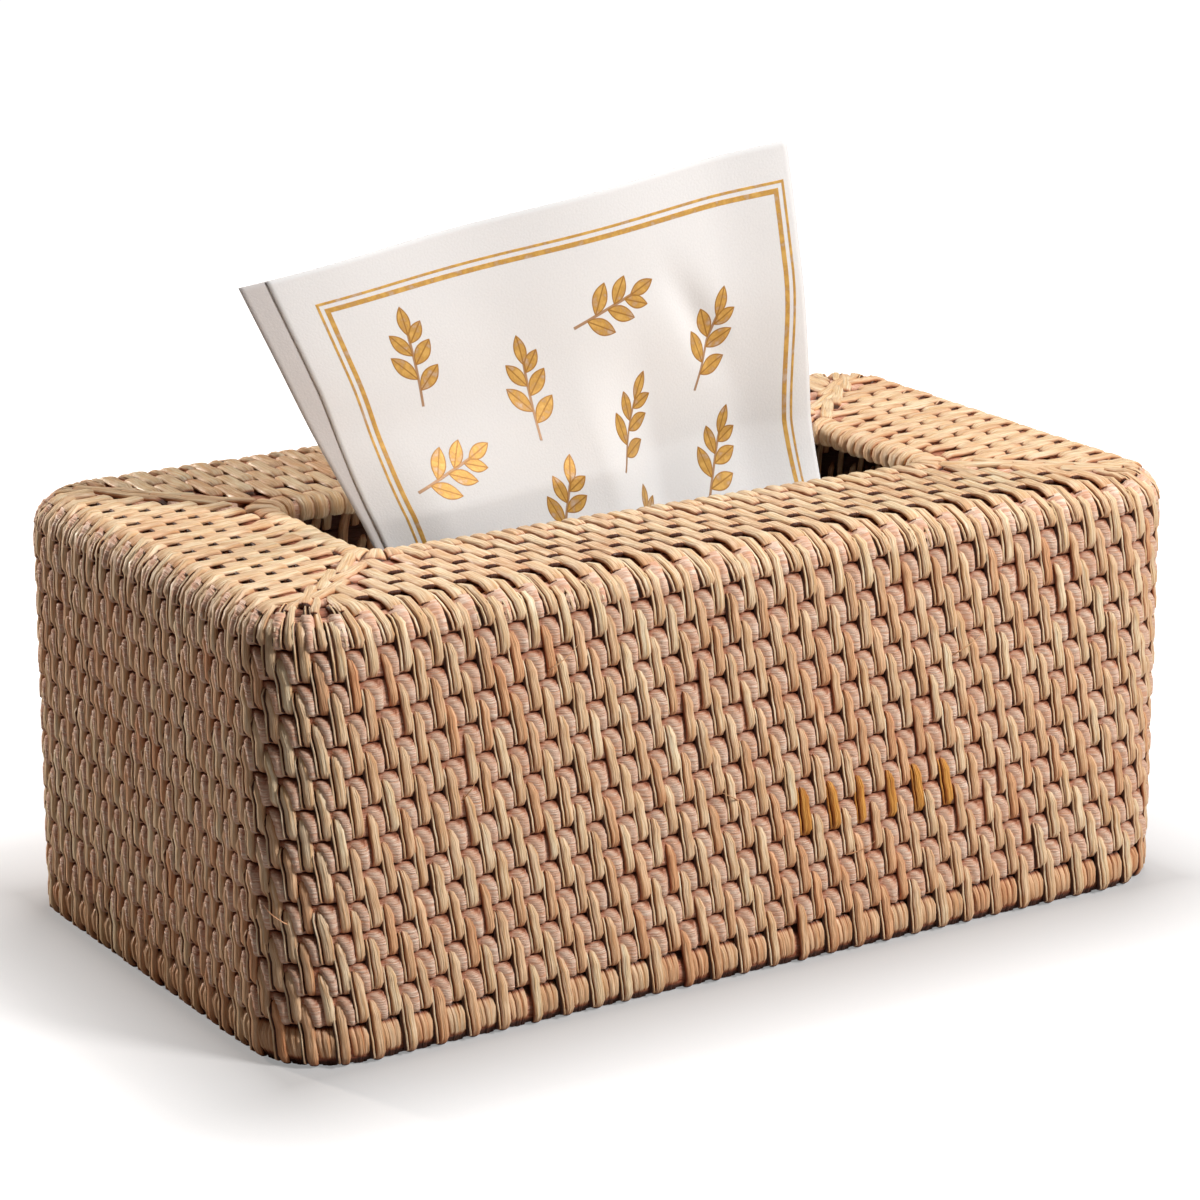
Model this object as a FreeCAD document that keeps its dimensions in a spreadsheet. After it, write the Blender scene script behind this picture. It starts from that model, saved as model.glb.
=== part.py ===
"""Coiled rattan tissue box cover, with the refill that it stands over and the tissue drawn through its slot.

Millimetres, +Z up.  The origin is at the middle of the footprint, on the surface that the cover stands on.
X runs along the cover's length.
"""
import FreeCAD, Part
import math
import os
import re
import Sketcher

DIMENSIONS = {
    # Outline of the cover
    "cover_length": 260.0,
    "cover_width": 147.4,
    "cover_corner_radius": 21.5,
    # Courses of flat core, one ring each
    "core_thickness": 5.0,
    "course_gap": 0.1,
    "course_pitch": 7.45,
    "side_course_count": 12,
    "course_foot_tuck": 0.3,
    "course_crest_height": 2.8,
    "course_head_tuck": 1.1,
    # Wrapped rim that the cover stands on
    "base_rim_height": 10.1,
    "base_rim_foot_tuck": 1.6,
    "base_rim_crest_height": 4.6,
    "base_rim_head_tuck": 0.9,
    # Rounded edge between wall and top, made of two courses
    "edge_radius": 9.2,
    "edge_split_angle": 65.0,
    "edge_course_reach": 12.2,
    # Top courses and the roll round the slot
    "top_course_pitch": 7.7,
    "top_course_count": 4,
    "top_course_bevel": 0.9,
    "top_dish": 1.2,
    "rim_diameter": 7.0,
    "opening_corner_radius": 5.0,
    # Folded refill
    "refill_end_room": 25.0,
    "refill_side_room": 16.0,
    "refill_head_room": 40.0,
    "refill_corner_radius": 6.0,
    "refill_edge_bevel": 2.0,
    # Tissue standing in the slot
    "tissue_width": 155.9,
    "tissue_tilt": 7.8,
    "tissue_rise": 58.3,
    "tissue_overhang": 19.0,
    "tissue_left_room": 9.3,
    "tissue_right_room": 14.8,
    "tissue_foot_left_room": 31.6,
    "tissue_foot_right_room": 9.1,
    "tissue_back_margin": 7.0,
    "ply_thickness": 0.5,
    "ply_gap": 0.3,
    "tissue_seat": 0.3,
    "tissue_crease_rise": 23.0,
    "tissue_front_lean": 5.2,
    "tissue_back_fall": 5.2,
    "tissue_turn_start": 80.0,
    "tissue_turn_run": 18.0,
    "fold_count": 4,
    "opening_fold_depth": 1.0,
    "top_fold_depth": 1.5,
}
FUNCTIONS = ("cos", "sin", "deg")
RIM_SIDES = 8
STEPS_PER_FOLD = 3
SAME_HEIGHT = 0.01

doc = FreeCAD.newDocument("tissue_box_cover")
sheet = doc.addObject("Spreadsheet::Sheet", "Sizes")
for row, (alias, value) in enumerate(DIMENSIONS.items(), start=1):
    sheet.set(f"A{row}", alias.replace("_", " "))
    sheet.set(f"B{row}", str(value))
    sheet.setAlias(f"B{row}", alias)
doc.recompute()

sub_parts = []


def bound(formula):
    """A formula in the sheet's aliases, written so that any object of the document can use it."""
    def cell(match):
        word = match.group(0)
        return word if word in FUNCTIONS else f"Sizes.{word}"
    return re.sub(r"[a-z][a-z_]+", cell, formula)


def size(formula):
    """The present value of such a formula, in millimetres or as a plain number."""
    value = sheet.evalExpression(bound(formula))
    return float(getattr(value, "Value", value))


# Formulas that several pieces share
HALF_LENGTH = "cover_length / 2"
HALF_WIDTH = "cover_width / 2"
WALL_INSIDE = f"{HALF_LENGTH} - core_thickness"
EDGE_FOOT = "(base_rim_height + side_course_count * course_pitch)"
COVER_TOP = f"({EDGE_FOOT} + edge_radius)"
RIM_INSET = "(edge_course_reach + top_course_count * top_course_pitch)"
OPENING_INSET = f"({RIM_INSET} + rim_diameter)"
EDGE_CORNER = "(cover_corner_radius - edge_course_reach)"
RIM_CORNER = "(opening_corner_radius + rim_diameter)"
REFILL_TOP = f"({COVER_TOP} - core_thickness - top_dish - refill_head_room)"


def origin_plane(body, role):
    """One of a body's own origin planes."""
    return next(plane for plane in body.Origin.OriginFeatures if plane.Role == role)


def new_sketch(body, name, role):
    """An empty sketch on one of the body's origin planes."""
    sketch = body.newObject("Sketcher::SketchObject", name)
    sketch.AttachmentSupport = [(origin_plane(body, role), "")]
    sketch.MapMode = "FlatFace"
    return sketch


def drive(sketch, kind, *where, formula):
    """Adds a size to a sketch and ties it to the sheet."""
    index = sketch.addConstraint(Sketcher.Constraint(kind, *where, size(formula)))
    sketch.setExpression(f"Constraints[{index}]", bound(formula))


def rounded_rectangle(sketch, half_length, half_width, corner):
    """A rectangle with round corners about the sketch's origin, which starts on the +X side at Y = 0."""
    a = size(half_length)
    b = size(half_width)
    r = size(corner)
    first = sketch.GeometryCount
    stops = [(a, 0), (a, b - r), (a - r, b), (r - a, b), (-a, b - r),
             (-a, r - b), (r - a, -b), (a - r, -b), (a, r - b)]
    centres = {1: (a - r, b - r), 3: (r - a, b - r), 5: (r - a, r - b), 7: (a - r, r - b)}
    up = FreeCAD.Vector(0, 0, 1)
    quarter = math.pi / 2
    for i, stop in enumerate(stops):
        if i in centres:
            circle = Part.Circle(FreeCAD.Vector(*centres[i], 0), up, r)
            turn = (i // 2) * quarter
            sketch.addGeometry(Part.ArcOfCircle(circle, turn, turn + quarter))
        else:
            start = FreeCAD.Vector(*stop, 0)
            finish = FreeCAD.Vector(*stops[(i + 1) % len(stops)], 0)
            sketch.addGeometry(Part.LineSegment(start, finish))

    def rule(kind, *where):
        sketch.addConstraint(Sketcher.Constraint(kind, *where))

    for i in range(1, len(stops)):
        rule("Tangent", first + i - 1, 2, first + i, 1)
    rule("Coincident", first + 8, 2, first, 1)
    for i in (0, 4, 8):
        rule("Vertical", first + i)
    for i in (2, 6):
        rule("Horizontal", first + i)
    for i in (3, 5, 7):
        rule("Equal", first + 1, first + i)
    rule("PointOnObject", first, 1, -1)
    drive(sketch, "DistanceX", -1, 1, first, 1, formula=half_length)
    drive(sketch, "DistanceX", first + 4, 1, -1, 1, formula=half_length)
    drive(sketch, "DistanceY", -1, 1, first + 2, 1, formula=half_width)
    drive(sketch, "DistanceY", first + 6, 1, -1, 1, formula=half_width)
    drive(sketch, "Radius", first + 1, formula=corner)


def closed_profile(sketch, corners):
    """A closed outline through corners given as formulas for x and z."""
    points = [FreeCAD.Vector(size(x), size(z), 0) for x, z in corners]
    total = len(points)
    for i in range(total):
        sketch.addGeometry(Part.LineSegment(points[i], points[(i + 1) % total]))
    for i, (x, z) in enumerate(corners):
        sketch.addConstraint(Sketcher.Constraint("Coincident", i, 2, (i + 1) % total, 1))
        drive(sketch, "DistanceX", -1, 1, i, 1, formula=x)
        drive(sketch, "DistanceY", -1, 1, i, 1, formula=z)


def ring(label, inset, corner, corners):
    """One course: a cross-section on the XZ plane, carried round a rounded rectangle."""
    body = doc.addObject("PartDesign::Body", label)
    path = new_sketch(body, f"{label}_path", "XY_Plane")
    rounded_rectangle(path, f"{HALF_LENGTH} - {inset}", f"{HALF_WIDTH} - {inset}", corner)
    section = new_sketch(body, f"{label}_section", "XZ_Plane")
    closed_profile(section, corners)
    sweep = body.newObject("PartDesign::AdditivePipe", f"{label}_sweep")
    sweep.Profile = section
    sweep.Spine = path
    body.Tip = sweep
    sub_parts.append(body)


def edges_at_top(shape):
    """The names of the edges that lie level at a shape's highest point."""
    top = shape.BoundBox.ZMax
    return [
        f"Edge{number}" for number, edge in enumerate(shape.Edges, start=1)
        if edge.BoundBox.ZMin > top - SAME_HEIGHT
    ]


def bevelled_pad(body, outline, height, bevel):
    """Raises an outline to a height and takes the sharpness off its upper edges."""
    block = body.newObject("PartDesign::Pad", f"{body.Label}_block")
    block.Profile = outline
    block.setExpression("Length", bound(height))
    doc.recompute()
    softened = body.newObject("PartDesign::Chamfer", f"{body.Label}_bevel")
    softened.Base = (block, edges_at_top(block.Shape))
    softened.setExpression("Size", bound(bevel))
    body.Tip = softened
    sub_parts.append(body)


def base_rim():
    """The lowest course, flat underneath, that carries the cover."""
    ring("base_rim", "0", "cover_corner_radius", [
        (f"{HALF_LENGTH} - base_rim_foot_tuck", "0"),
        (HALF_LENGTH, "base_rim_crest_height"),
        (f"{HALF_LENGTH} - base_rim_head_tuck", "base_rim_height"),
        (WALL_INSIDE, "base_rim_height"),
        (WALL_INSIDE, "0"),
    ])


def side_courses():
    """The wall: each course leans in at its head, under the foot of the course above."""
    for number in range(1, int(size("side_course_count")) + 1):
        seat = f"base_rim_height + {number - 1} * course_pitch"
        foot = f"{seat} + course_gap"
        head = f"{seat} + course_pitch"
        ring(f"side_course_{number:02d}", "0", "cover_corner_radius", [
            (f"{HALF_LENGTH} - course_foot_tuck", foot),
            (HALF_LENGTH, f"{seat} + course_crest_height"),
            (f"{HALF_LENGTH} - course_head_tuck", head),
            (WALL_INSIDE, head),
            (WALL_INSIDE, foot),
        ])


def on_edge(radius, turn, drop="0"):
    """A point of the rounded edge, turned up from level by an angle in degrees."""
    x = f"{HALF_LENGTH} - edge_radius + ({radius}) * cos(({turn}) * 1 deg)"
    z = f"{EDGE_FOOT} + ({radius}) * sin(({turn}) * 1 deg) - {drop}"
    return x, z


def edge_courses():
    """The two courses that turn the wall over into the top."""
    split = "edge_split_angle"
    inside = "edge_radius - core_thickness"
    lower_foot = f"{EDGE_FOOT} + course_gap"
    upper_end = f"{HALF_LENGTH} - edge_course_reach + course_gap"
    ring("lower_edge_course", "0", "cover_corner_radius", [
        (HALF_LENGTH, lower_foot),
        on_edge("edge_radius", f"{split} / 2"),
        on_edge("edge_radius", split, "course_gap"),
        on_edge(inside, split, "course_gap"),
        (WALL_INSIDE, lower_foot),
    ])
    ring("upper_edge_course", "0", "cover_corner_radius", [
        on_edge("edge_radius", split),
        on_edge("edge_radius", f"(90 + {split}) / 2"),
        on_edge("edge_radius", "90"),
        (upper_end, COVER_TOP),
        (upper_end, f"{COVER_TOP} - core_thickness"),
        on_edge(inside, split),
    ])


def corner_at(inset):
    """Plan corner radius of a top course whose outer line lies this far inside the outline."""
    share = f"({inset} - edge_course_reach) / (top_course_count * top_course_pitch)"
    return f"({EDGE_CORNER} + ({RIM_CORNER} - {EDGE_CORNER}) * {share})"


def top_courses():
    """The flat courses of the top, nested in each other, each a little lower than the one outside it."""
    for number in range(1, int(size("top_course_count")) + 1):
        outside = f"(edge_course_reach + {number - 1} * top_course_pitch)"
        inside = f"(edge_course_reach + {number} * top_course_pitch)"
        crest = f"{COVER_TOP} - top_dish * {number} / (top_course_count + 1)"
        body = doc.addObject("PartDesign::Body", f"top_course_{number}")
        outline = new_sketch(body, f"top_course_{number}_outline", "XY_Plane")
        outline.setExpression("AttachmentOffset.Base.z", bound(f"{crest} - core_thickness"))
        rounded_rectangle(
            outline, f"{HALF_LENGTH} - {outside}", f"{HALF_WIDTH} - {outside}", corner_at(outside))
        rounded_rectangle(
            outline,
            f"{HALF_LENGTH} - {inside} + course_gap",
            f"{HALF_WIDTH} - {inside} + course_gap",
            f"{corner_at(inside)} + course_gap",
        )
        bevelled_pad(body, outline, "core_thickness", "top_course_bevel")


def opening_rim():
    """The wrapped roll round the slot."""
    across = f"{HALF_LENGTH} - {RIM_INSET} - rim_diameter / 2"
    height = f"{COVER_TOP} - top_dish - rim_diameter / 2"
    step = 360 / RIM_SIDES
    turns = [step * (side + 0.5) for side in range(RIM_SIDES)]
    ring("opening_rim", RIM_INSET, RIM_CORNER, [
        (f"{across} + rim_diameter / 2 * cos({turn} deg)", f"{height} + rim_diameter / 2 * sin({turn} deg)")
        for turn in turns
    ])


def tissue_stack():
    """The folded refill that stands under the cover."""
    body = doc.addObject("PartDesign::Body", "tissue_stack")
    outline = new_sketch(body, "tissue_stack_outline", "XY_Plane")
    rounded_rectangle(
        outline,
        f"{WALL_INSIDE} - refill_end_room",
        f"{HALF_WIDTH} - core_thickness - refill_side_room",
        "refill_corner_radius",
    )
    bevelled_pad(body, outline, REFILL_TOP, "refill_edge_bevel")


def hang(place):
    """How far back the tissue stands in the slot: it leans forwards on the left, then falls back."""
    turned = (place - size("tissue_turn_start")) / size("tissue_turn_run")
    turned = min(max(turned, 0), 1)
    return turned * size("tissue_back_fall") - (1 - turned) * size("tissue_front_lean")


def fold_line(left, right, depth, lean, offset, cut):
    """Points along a folded line, swinging forwards and backwards by turns, from its cut to its right end."""
    swings = size("fold_count")
    steps = int(swings) * STEPS_PER_FOLD
    shares = [cut] + [step / steps for step in range(1, steps + 1) if step / steps > cut]
    points = []
    for share in shares:
        back = offset - depth * math.sin(math.pi * swings * share) + lean * hang(share * size("tissue_width"))
        points.append(left + (right - left) * share + FreeCAD.Vector(0, back, 0))
    return points


def tissue_ply(label, near, far, margin):
    """One ply of the tissue, from its foot on the refill through slot and crease to its free top edge."""
    opening = size(f"{HALF_LENGTH} - {OPENING_INSET}")
    top = size(COVER_TOP)
    foot = size(f"{REFILL_TOP} + tissue_seat")
    width = size("tissue_width")
    tilt = math.radians(size("tissue_tilt"))
    climb = size("tissue_crease_rise / tissue_rise")
    high_left = FreeCAD.Vector(-opening - size("tissue_overhang"), 0, top + size("tissue_rise"))
    high_right = high_left + FreeCAD.Vector(math.cos(tilt), 0, math.sin(tilt)) * width
    mid_left = FreeCAD.Vector(-opening + size("tissue_left_room"), 0, top)
    mid_right = FreeCAD.Vector(opening - size("tissue_right_room"), 0, top)
    crease_left = mid_left + (high_left - mid_left) * climb
    crease_right = mid_right + (high_right - mid_right) * climb
    low_left = FreeCAD.Vector(-opening + size("tissue_foot_left_room"), 0, foot)
    low_right = FreeCAD.Vector(opening - size("tissue_foot_right_room"), 0, foot)
    sections = []
    for left, right, depth, lean in (
        (low_left, low_right, "opening_fold_depth", 1),
        (mid_left, mid_right, "opening_fold_depth", 1),
        (crease_left, crease_right, "top_fold_depth", 0),
        (high_left, high_right, "top_fold_depth", 0),
    ):
        front = fold_line(left, right, size(depth), lean, near, margin / width)
        back = fold_line(left, right, size(depth), lean, far, margin / width)
        sections.append(Part.makePolygon(front + back[::-1] + front[:1]))
    ply = doc.addObject("Part::Feature", label)
    ply.Shape = Part.makeLoft(sections, True, True)
    sub_parts.append(ply)


def tissue_plies():
    """The two plies; the back one shows as a margin along the left edge."""
    half_gap = size("ply_gap") / 2
    thickness = size("ply_thickness")
    tissue_ply("pulled_tissue_front_ply", -half_gap - thickness, -half_gap, size("tissue_back_margin"))
    tissue_ply("pulled_tissue_back_ply", half_gap, half_gap + thickness, 0.0)


base_rim()
side_courses()
edge_courses()
top_courses()
opening_rim()
tissue_stack()
tissue_plies()
doc.recompute()

for item in doc.Objects:
    if {"Invalid", "Error"} & set(item.State):
        raise RuntimeError(f"{item.Label} did not build: {item.State}")
for item in sub_parts:
    if item.Shape.isNull() or not item.Shape.isValid() or not item.Shape.Solids:
        raise RuntimeError(f"{item.Label} has no valid solid")

os.makedirs("parts", exist_ok=True)
for item in sub_parts:
    item.Shape.exportStep(f"parts/{item.Label}.step")
    extent = item.Shape.BoundBox
    print(f"{item.Label:26s} {item.Shape.Volume:10.1f} mm3  z {extent.ZMin:7.2f} to {extent.ZMax:7.2f}")
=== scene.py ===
# %% [markdown]
# # A coiled rattan cover for a tissue box
# The real thing is a basket worker's piece. Rods of rattan core are laid one on another as
# closed courses, and every course is bound to the one below with strips of shiny rattan skin.
# A stack of tissues stands inside, and one tissue is pulled up through the slot in the top.
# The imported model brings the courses, the tissue and the refill at their true size. This
# script dresses them: rounded cores, about five thousand strips of binding, and soft paper.

# %% Load the frame
import math
import random
from functools import partial, reduce

import bmesh
import bpy
from mathutils import Matrix, Vector, noise


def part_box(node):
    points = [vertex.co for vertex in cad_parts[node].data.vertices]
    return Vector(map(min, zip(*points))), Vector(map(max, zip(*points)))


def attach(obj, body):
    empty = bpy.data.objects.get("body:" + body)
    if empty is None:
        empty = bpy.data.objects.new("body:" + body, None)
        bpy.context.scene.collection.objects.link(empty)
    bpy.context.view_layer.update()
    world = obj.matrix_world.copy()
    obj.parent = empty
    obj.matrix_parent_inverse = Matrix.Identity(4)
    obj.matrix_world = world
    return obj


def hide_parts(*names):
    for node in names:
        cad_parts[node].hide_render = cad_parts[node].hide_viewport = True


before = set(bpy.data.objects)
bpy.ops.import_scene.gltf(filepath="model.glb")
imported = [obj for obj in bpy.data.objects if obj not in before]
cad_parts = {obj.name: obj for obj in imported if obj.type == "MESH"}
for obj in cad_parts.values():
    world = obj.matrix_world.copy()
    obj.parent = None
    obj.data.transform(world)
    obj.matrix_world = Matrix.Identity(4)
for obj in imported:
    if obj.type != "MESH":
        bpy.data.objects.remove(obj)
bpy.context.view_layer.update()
print("nodes in the frame:", len(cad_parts))

# %% [markdown]
# ## Sizes
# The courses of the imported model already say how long, wide and high the cover is, so the
# script reads its sizes from their boxes. All modelling below is written in millimetres, in
# the same frame, and each finished mesh is scaled to metres once.

# %% Sizes read from the frame
MM = 0.001


def box_mm(node):
    low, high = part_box(node)
    return low / MM, high / MM


SIDE_COURSES = 12
TOP_COURSES = 4
HALF_LENGTH = box_mm("side_course_06")[1].x
HALF_WIDTH = box_mm("side_course_06")[1].y
BASE_TOP = box_mm("side_course_01")[0].z
WALL_TOP = box_mm("side_course_12")[1].z
COVER_TOP = box_mm("upper_edge_course")[1].z
EDGE_RADIUS = COVER_TOP - WALL_TOP
PITCH = (WALL_TOP - BASE_TOP) / SIDE_COURSES
CORNER = 21.5
CORE = 5.0
print(f"cover {2 * HALF_LENGTH:.1f} x {2 * HALF_WIDTH:.1f} x {COVER_TOP:.1f} mm, course {PITCH:.2f} mm")

# %% [markdown]
# ## Helpers
# A few short functions make objects and meshes. Materials, the floor and the room's light are
# all built from nodes. Most of the functions for these add one node and give back its output,
# so that a look reads like a formula.

# %% Object, mesh, colour and node helpers
def add_object(name, data):
    obj = bpy.data.objects.new(name, data)
    bpy.context.scene.collection.objects.link(obj)
    return obj


def to_mesh(bm, name):
    mesh = bpy.data.meshes.new(name)
    bm.to_mesh(mesh)
    bm.free()
    return mesh


def paste(bm, mesh):
    """Add a copy of a mesh and give back its points."""
    first = len(bm.verts)
    bm.from_mesh(mesh)
    bm.verts.ensure_lookup_table()
    return bm.verts[first:]


def long_edges(bm, axis):
    """The edges that run along an axis."""
    return [e for e in bm.edges if abs(e.verts[0].co[axis] - e.verts[1].co[axis]) > 0.5]


def srgb(red, green, blue):
    def linear(value):
        value /= 255
        return value / 12.92 if value <= 0.04045 else ((value + 0.055) / 1.055) ** 2.4
    return (linear(red), linear(green), linear(blue), 1.0)


def add_node(tree, kind, **settings):
    made = tree.nodes.new("ShaderNode" + kind)
    for name, value in settings.items():
        setattr(made, name, value)
    return made


def join(tree, source, target):
    """Link an output to an input, or set the input where the source is a plain value."""
    if hasattr(source, "is_output"):
        tree.links.new(source, target)
    else:
        target.default_value = source


def stored(tree, name, kind="Fac"):
    """What the points of a mesh store under a name."""
    return add_node(tree, "Attribute", attribute_name=name).outputs[kind]


def math_node(tree, operation, a, b=0.0):
    made = add_node(tree, "Math", operation=operation)
    join(tree, a, made.inputs[0])
    join(tree, b, made.inputs[1])
    return made.outputs[0]


def sums(tree):
    """Short names for the sums that a tree's formulas use most."""
    return [partial(math_node, tree, name) for name in ("MULTIPLY", "SUBTRACT", "MAXIMUM", "ABSOLUTE")]


def noise_node(tree, place, scale, detail, roughness=0.5):
    made = add_node(tree, "TexNoise")
    for name, value in (("Vector", place), ("Scale", scale), ("Detail", detail), ("Roughness", roughness)):
        join(tree, value, made.inputs[name])
    return made.outputs["Fac"]


def mix_colour(tree, factor, a, b, blend="MIX"):
    made = add_node(tree, "Mix", data_type="RGBA", blend_type=blend)
    join(tree, factor, made.inputs["Factor"])
    join(tree, a, made.inputs["A"])
    join(tree, b, made.inputs["B"])
    return made.outputs["Result"]


def spread(tree, value, low, high, to_low, to_high):
    made = add_node(tree, "MapRange", interpolation_type="SMOOTHSTEP")
    join(tree, value, made.inputs["Value"])
    for name, number in zip(("From Min", "From Max", "To Min", "To Max"), (low, high, to_low, to_high)):
        made.inputs[name].default_value = number
    return made.outputs["Result"]


def new_material(name, roughness):
    made = bpy.data.materials.new(name)
    made.use_nodes = True
    shader = made.node_tree.nodes["Principled BSDF"]
    shader.inputs["Roughness"].default_value = roughness
    return made, made.node_tree, shader


def new_group(name, takes, gives):
    """An empty node group, with the sockets that it reads from and those that it gives to."""
    group = bpy.data.node_groups.new(name, "ShaderNodeTree")
    for socket, kind in takes:
        group.interface.new_socket(socket, in_out="INPUT", socket_type="NodeSocket" + kind)
    for socket in gives:
        group.interface.new_socket(socket, in_out="OUTPUT", socket_type="NodeSocketFloat")
    return group, group.nodes.new("NodeGroupInput").outputs, group.nodes.new("NodeGroupOutput").inputs


def bump(tree, shader, height, distance, strength):
    made = add_node(tree, "Bump")
    join(tree, strength, made.inputs["Strength"])
    join(tree, distance * MM, made.inputs["Distance"])
    join(tree, height, made.inputs["Height"])
    join(tree, made.outputs["Normal"], shader.inputs["Normal"])


# %% [markdown]
# ## Floor, light and camera
# The photograph is a product shot: white ground, one broad light from the front right, a soft
# one from above and a weaker one from behind on the left, which only grazes the shaded left
# end. The room's fill is faint and warm. The camera looks from the front left with a long
# lens, and its place was found by fitting the cover's outline.

# %% Stage
CAMERA_EYE = (-529.07, -844.11, 365.5)
CAMERA_AIM = (2.4, 5.47, 74.72)
CAMERA_LENS, CAMERA_SENSOR = 123.33, 36.0
LAMP_AIM = (0, 0, 60)
WHITE = (1, 1, 1, 1)
ROOM_FILL = (0.043, 0.026, 0.018, 1)
FLOOR_COLOUR = (0.36, 0.36, 0.365, 1)
FLOOR_HALF = 6.0
# The floor's own glow at some distances from the footprint, in metres: weak near the cover,
# which paints a soft shadow round it, and nearly white further off.
FADE = [(0.0, 0.28), (0.03, 0.58), (0.08, 0.84), (0.5, 0.98)]
FADE_STRETCH = (1.1, 1, 1)


def aim(obj, place, target):
    obj.location = Vector(place) * MM
    obj.rotation_euler = (Vector(target) - Vector(place)).to_track_quat("-Z", "Y").to_euler()


def add_lamp(name, place, size, watts, colour):
    """A round lamp, its place and size in millimetres."""
    lamp = bpy.data.lights.new(name, "AREA")
    lamp.shape = "DISK"
    lamp.size = size * MM
    lamp.energy = watts
    lamp.color = colour
    aim(add_object(name, lamp), place, LAMP_AIM)


camera = add_object("camera", bpy.data.cameras.new("camera"))
camera.data.lens = CAMERA_LENS
camera.data.sensor_width = CAMERA_SENSOR
aim(camera, CAMERA_EYE, CAMERA_AIM)
bpy.context.scene.camera = camera

add_lamp("key_light", (490, -910, 780), 300, 15.4, (1.0, 0.975, 0.95))
add_lamp("top_light", (250, 250, 1200), 450, 8.0, (1.0, 0.98, 0.96))
add_lamp("left_rim", (-450, 930, 300), 90, 7.8, (1.0, 0.88, 0.78))

world = bpy.data.worlds.new("studio")
bpy.context.scene.world = world
world.use_nodes = True
tree = world.node_tree
seen = add_node(tree, "LightPath").outputs["Is Camera Ray"]
join(tree, mix_colour(tree, seen, ROOM_FILL, WHITE), tree.nodes["Background"].inputs["Color"])
bpy.context.scene.view_settings.view_transform = "Standard"

bm = bmesh.new()
bmesh.ops.create_grid(bm, x_segments=1, y_segments=1, size=FLOOR_HALF)
floor = add_object("floor", to_mesh(bm, "floor"))
floor_look, tree, shader = new_material("white_floor", 0.9)
shader.inputs["Base Color"].default_value = FLOOR_COLOUR
shader.inputs["Emission Color"].default_value = WHITE
# To the camera the floor fades to white away from the cover's footprint; its weaker glow
# near the footprint paints a soft shadow there, besides the lamps' own shadows.
ground = add_node(tree, "TexCoord").outputs["Object"]
for operation, other in (("ABSOLUTE", None), ("SUBTRACT", (HALF_LENGTH * MM, HALF_WIDTH * MM, 0)),
                         ("MAXIMUM", (0, 0, 0)), ("MULTIPLY", FADE_STRETCH), ("LENGTH", None)):
    step = add_node(tree, "VectorMath", operation=operation)
    join(tree, ground, step.inputs[0])
    if other:
        step.inputs[1].default_value = other
    ground = step.outputs[0]
fade = add_node(tree, "FloatCurve")
for place, value in FADE:
    fade.mapping.curves[0].points.new(place, value)
fade.mapping.extend = "HORIZONTAL"
fade.mapping.update()
join(tree, step.outputs["Value"], fade.inputs["Value"])
seen = add_node(tree, "LightPath").outputs["Is Camera Ray"]
join(tree, math_node(tree, "MULTIPLY", seen, fade.outputs["Value"]), shader.inputs["Emission Strength"])
floor.data.materials.append(floor_look)

# %% [markdown]
# ## The wall as a map
# Every course and every strip of binding lies on the same wall. It helps to have one map of
# it: s runs round the cover, t climbs the wall, turns over the rounded edge, goes inwards
# over the top and rolls down into the slot, and w stands out from the surface. A strip can
# then be shaped flat and laid anywhere on the cover by mapping its points.

# %% The wall map
SIDES = [(Vector((1, 0)), Vector((0, -1))), (Vector((0, 1)), Vector((1, 0))),
         (Vector((-1, 0)), Vector((0, 1))), (Vector((0, -1)), Vector((-1, 0)))]
TOP_FALL = 0.03
ROLL = 3.5
ROLL_INSET = HALF_LENGTH - box_mm("opening_rim")[1].x + ROLL
FLAT_START = WALL_TOP + EDGE_RADIUS * math.pi / 2
ROLL_START = FLAT_START + ROLL_INSET - EDGE_RADIUS
ROLL_TOP = COVER_TOP - TOP_FALL * (ROLL_START - FLAT_START)


def ring_length(half_x, half_y, corner):
    return 4 * (half_x + half_y - 2 * corner) + 2 * math.pi * corner


def around(s, half_x, half_y, corner):
    """Point and outward direction, s counter-clockwise from the middle of the front."""
    runs = (2 * (half_x - corner), 2 * (half_y - corner)) * 2
    bend = corner * math.pi / 2
    s = (s + runs[0] / 2) % ring_length(half_x, half_y, corner)
    for side, (along, out) in enumerate(SIDES):
        reach = half_x if side % 2 else half_y
        if s <= runs[side]:
            return along * (s - runs[side] / 2) + out * reach, out
        s -= runs[side]
        if s <= bend or side == 3:
            turned = out * math.cos(s / corner) + along * math.sin(s / corner)
            return along * runs[side] / 2 + out * (reach - corner) + turned * corner, turned
        s -= bend


def section(t, w):
    """How far in from the outline, and how high, the wall is at t, w proud of it."""
    if t <= WALL_TOP:
        return -w, t
    if t <= FLAT_START:
        turn = (t - WALL_TOP) / EDGE_RADIUS
        return (EDGE_RADIUS - (EDGE_RADIUS + w) * math.cos(turn),
                WALL_TOP + (EDGE_RADIUS + w) * math.sin(turn))
    flat = min(t, ROLL_START) - FLAT_START
    turn = max(t - ROLL_START, 0) / ROLL
    return (EDGE_RADIUS + flat + (ROLL + w) * math.sin(turn),
            COVER_TOP - TOP_FALL * flat - ROLL + (ROLL + w) * math.cos(turn))


def wall(s, t, w):
    point, out = around(s, HALF_LENGTH, HALF_WIDTH, CORNER)
    inset, z = section(t, w)
    point = point - out * inset
    return Vector((point.x, point.y, z))


def straight(side, a, t, w):
    """A point of one side's flat strip, a mm from its middle: the top is mitred, not bent."""
    along, out = SIDES[side]
    inset, z = section(t, w)
    point = along * a + out * ((HALF_LENGTH if side % 2 else HALF_WIDTH) - inset)
    return Vector((point.x, point.y, z))


PERIMETER = ring_length(HALF_LENGTH, HALF_WIDTH, CORNER)
print(f"once round the cover: {PERIMETER:.1f} mm")

# %% [markdown]
# ## Where the stitches sit
# A course holds 96 stitches. They are 8.5 mm apart on the long sides and closer on the short
# ones. Each stitch binds two courses, and each row is set half a step beside the next, like
# bricks. The borders between courses, in t, end with the four flat courses of the top.

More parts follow.
